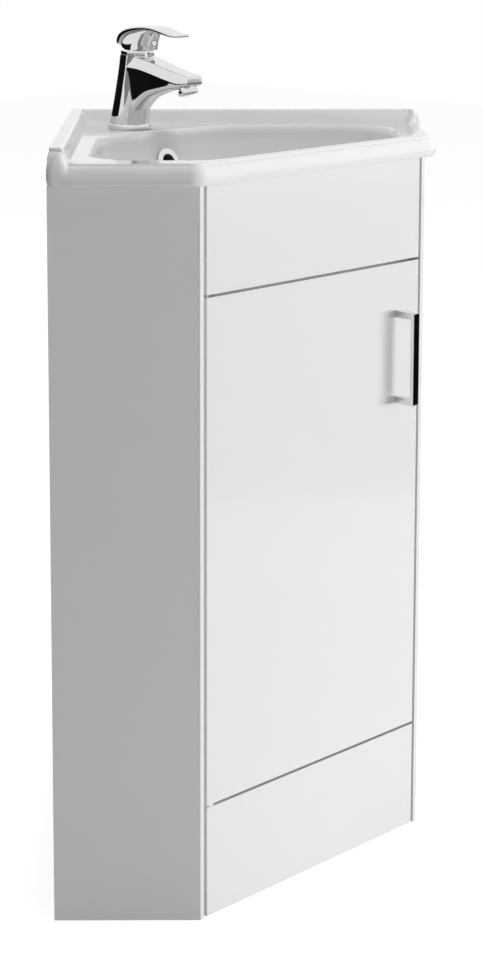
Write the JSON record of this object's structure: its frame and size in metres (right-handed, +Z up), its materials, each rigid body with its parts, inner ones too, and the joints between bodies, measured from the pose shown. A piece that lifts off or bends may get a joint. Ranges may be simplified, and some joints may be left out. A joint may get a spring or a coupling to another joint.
{
  "type": "corner vanity unit",
  "caption": "Five-sided corner cupboard with a pivot-hung door, ceramic basin with wall upstands, single-lever mixer tap and click waste.",
  "frame": {"origin": "the room corner at floor level, where the planes of the two walls meet the floor", "axes": "+Z up, the front faces -Y, the two walls run from the origin at 45 degrees towards (-X, -Y) and (+X, -Y)"},
  "size_m": [0.577, 0.4158, 0.9099],
  "materials": {
    "white_board": "white lacquered board, satin",
    "front_board": "white lacquered board, gloss",
    "ceramic": "white glaze",
    "chrome": "polished chrome plate",
    "plug_metal": "polished",
    "steel": "zinc plated",
    "nylon": "moulded",
    "rubber": "matt",
    "brass": "turned",
    "aerator_mesh": "moulded"
  },
  "bodies": {
    "unit": {"left_side_panel": "white_board", "right_side_panel": "white_board", "base_panel": "white_board", "plinth_panel": "front_board", "fascia_panel": "front_board", "front_rail": "white_board", "upper_battens": "white_board", "lower_battens": "white_board", "left_upper_rail": "white_board", "right_upper_rail": "white_board", "left_lower_rail": "white_board", "right_lower_rail": "white_board", "corner_post": "white_board", "joint_blocks": "nylon", "joint_screws": "steel", "magnet_catch": "nylon", "catch_screws": "steel", "door_bumpers": "nylon", "hinge_bushes": "nylon", "hinge_washer": "nylon", "basin": "ceramic", "overflow_ring": "chrome", "waste_body": "chrome", "waste_seal": "rubber", "waste_washer": "steel", "waste_nut": "brass", "tap_base_seal": "rubber", "tap_base_ring": "chrome", "tap_body": "chrome", "tap_cartridge": "nylon", "cartridge_nut": "chrome", "aerator_housing": "chrome", "aerator_insert": "aerator_mesh", "tap_stud": "steel", "tap_clamp_seal": "rubber", "tap_clamp_washer": "steel", "tap_nut": "brass"},
    "door": {"door": "front_board", "hinge_pins": "steel", "handle": "chrome", "handle_screws": "steel", "strike_plate": "steel", "strike_screws": "steel"},
    "tap_turret": {"cartridge_rotor": "nylon"},
    "tap_lever": {"cartridge_stem": "steel", "tap_head": "chrome", "lever_plug": "plug_metal"},
    "plug": {"waste_plug": "chrome", "plug_seal": "rubber"}
  },
  "joints": [
    {"name": "door_swing", "type": "hinge", "parent": "unit", "child": "door", "pos_m": [-0.1578, -0.38226, 0.3885], "axis": [0, 0, -1], "range_deg": [0, 105]},
    {"name": "tap_swivel", "type": "hinge", "parent": "unit", "child": "tap_turret", "pos_m": [0, -0.11546, 0.877], "axis": [0, 0, 1], "range_deg": [-45, 45]},
    {"name": "tap_lift", "type": "hinge", "parent": "tap_turret", "child": "tap_lever", "pos_m": [0, -0.11546, 0.877], "axis": [-1, 0, 0], "range_deg": [0, 18]},
    {"name": "plug_slide", "type": "slide", "parent": "unit", "child": "plug", "axis": [0, 0, 1], "range_m": [0, 0.008]}
  ]
}
